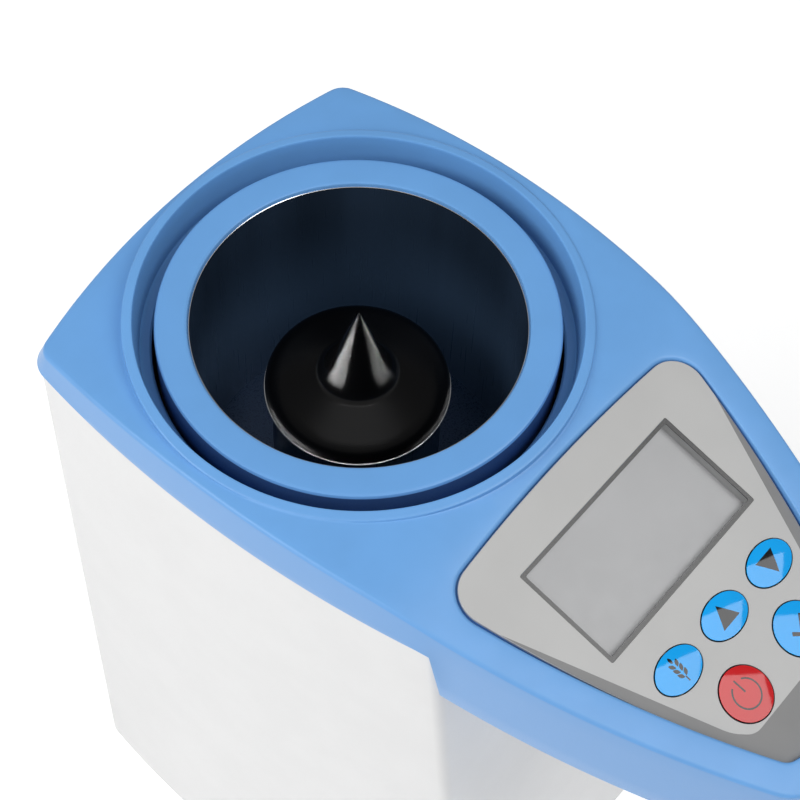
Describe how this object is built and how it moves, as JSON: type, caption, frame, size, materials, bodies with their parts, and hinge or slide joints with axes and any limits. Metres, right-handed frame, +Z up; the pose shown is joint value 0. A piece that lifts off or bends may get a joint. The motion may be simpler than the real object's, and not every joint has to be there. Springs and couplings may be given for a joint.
{
  "type": "grain moisture meter",
  "caption": "Bench-top grain moisture meter with an open measuring cup on a load cell, a cone-topped centre electrode and a sloping panel with a display and keys.",
  "frame": {"origin": "on the table, under the middle of the meter's overall box", "axes": "+Z up; -Y from the measuring cup towards the nose, where the user stands; +X to the user's right"},
  "size_m": [0.1198, 0.211, 0.2216],
  "materials": {
    "cover": "satin blue moulding",
    "body": "satin white moulding",
    "base": "fine matt",
    "feet": "matt",
    "cup_wall": "dark anodised, glossy",
    "cup_floor": "fine matt",
    "cap": "high gloss",
    "bright_metal": "bright",
    "plated_metal": "zinc plated",
    "beam": "satin",
    "sheet": "galvanised",
    "carrier": "satin",
    "board": "solder mask",
    "chips": "matt",
    "capacitors": "sleeved",
    "connectors": "matt",
    "brass": "bright",
    "panel": "fine matt film",
    "window": "clear",
    "lcd": "satin",
    "light_guide": "frosted",
    "keys_blue": "high gloss",
    "key_red": "high gloss",
    "ribbon": "satin",
    "tray": "fine matt",
    "batteries": "printed sleeve",
    "black_plastic": "fine matt"
  },
  "bodies": {
    "housing": {"top_cover": "cover", "main_housing": "body", "nose_cover": "cover", "base_plate": "base", "rubber_feet": "feet", "load_cell": "beam", "load_cell_spacer": "beam", "load_cell_screws": "plated_metal", "chassis_plate": "sheet", "chassis_screws": "plated_metal", "main_board": "board", "board_pillars": "brass", "board_screws": "plated_metal", "board_chips": "chips", "board_capacitors": "capacitors", "board_connectors": "connectors", "buzzer": "black_plastic", "panel_overlay": "panel", "display_window": "window", "lcd_glass": "lcd", "backlight": "light_guide", "display_board": "board", "display_board_screws": "plated_metal", "key_domes": "bright_metal", "ribbon_cable": "ribbon", "battery_tray": "tray", "batteries": "batteries", "battery_springs": "plated_metal", "battery_contacts": "plated_metal", "dc_jack": "black_plastic", "dc_pin": "bright_metal", "cover_screws": "plated_metal", "base_screws": "plated_metal", "nose_screws": "plated_metal"},
    "cup": {"cup_ring": "cover", "outer_electrode": "cup_wall", "cup_base": "cup_floor", "centre_electrode": "cup_wall", "electrode_cap": "cap", "centre_bolt": "plated_metal", "temperature_probe": "bright_metal", "sensor_board": "board", "cup_carrier": "carrier", "cup_screws": "plated_metal", "carrier_screws": "plated_metal"},
    "key_grain": {"key_grain": "keys_blue"},
    "key_up": {"key_up": "keys_blue"},
    "key_down": {"key_down": "keys_blue"},
    "key_power": {"key_power": "key_red"},
    "key_confirm": {"key_confirm": "keys_blue"},
    "door": {"battery_door": "base"}
  },
  "joints": [
    {"name": "cup_weigh", "type": "slide", "parent": "housing", "child": "cup", "axis": [0, 0, 1], "range_m": [-0.0005, 0], "stiffness_N_per_m": 33000, "springref_m": 0.00013, "deforming": ["load_cell"]},
    {"name": "press_grain", "type": "slide", "parent": "housing", "child": "key_grain", "axis": [0, 0.2756, -0.9613], "range_m": [0, 0.0005], "stiffness_N_per_m": 3000, "springref_m": -0.0004},
    {"name": "press_up", "type": "slide", "parent": "housing", "child": "key_up", "axis": [0, 0.2756, -0.9613], "range_m": [0, 0.0005], "stiffness_N_per_m": 3000, "springref_m": -0.0004},
    {"name": "press_down", "type": "slide", "parent": "housing", "child": "key_down", "axis": [0, 0.2756, -0.9613], "range_m": [0, 0.0005], "stiffness_N_per_m": 3000, "springref_m": -0.0004},
    {"name": "press_power", "type": "slide", "parent": "housing", "child": "key_power", "axis": [0, 0.2756, -0.9613], "range_m": [0, 0.0005], "stiffness_N_per_m": 3000, "springref_m": -0.0004},
    {"name": "press_confirm", "type": "slide", "parent": "housing", "child": "key_confirm", "axis": [0, 0.2756, -0.9613], "range_m": [0, 0.0005], "stiffness_N_per_m": 3000, "springref_m": -0.0004},
    {"name": "door_hinge", "type": "hinge", "parent": "housing", "child": "door", "pos_m": [0, 0.0624, 0.0049], "axis": [1, 0, 0], "range_deg": [0, 95]}
  ]
}
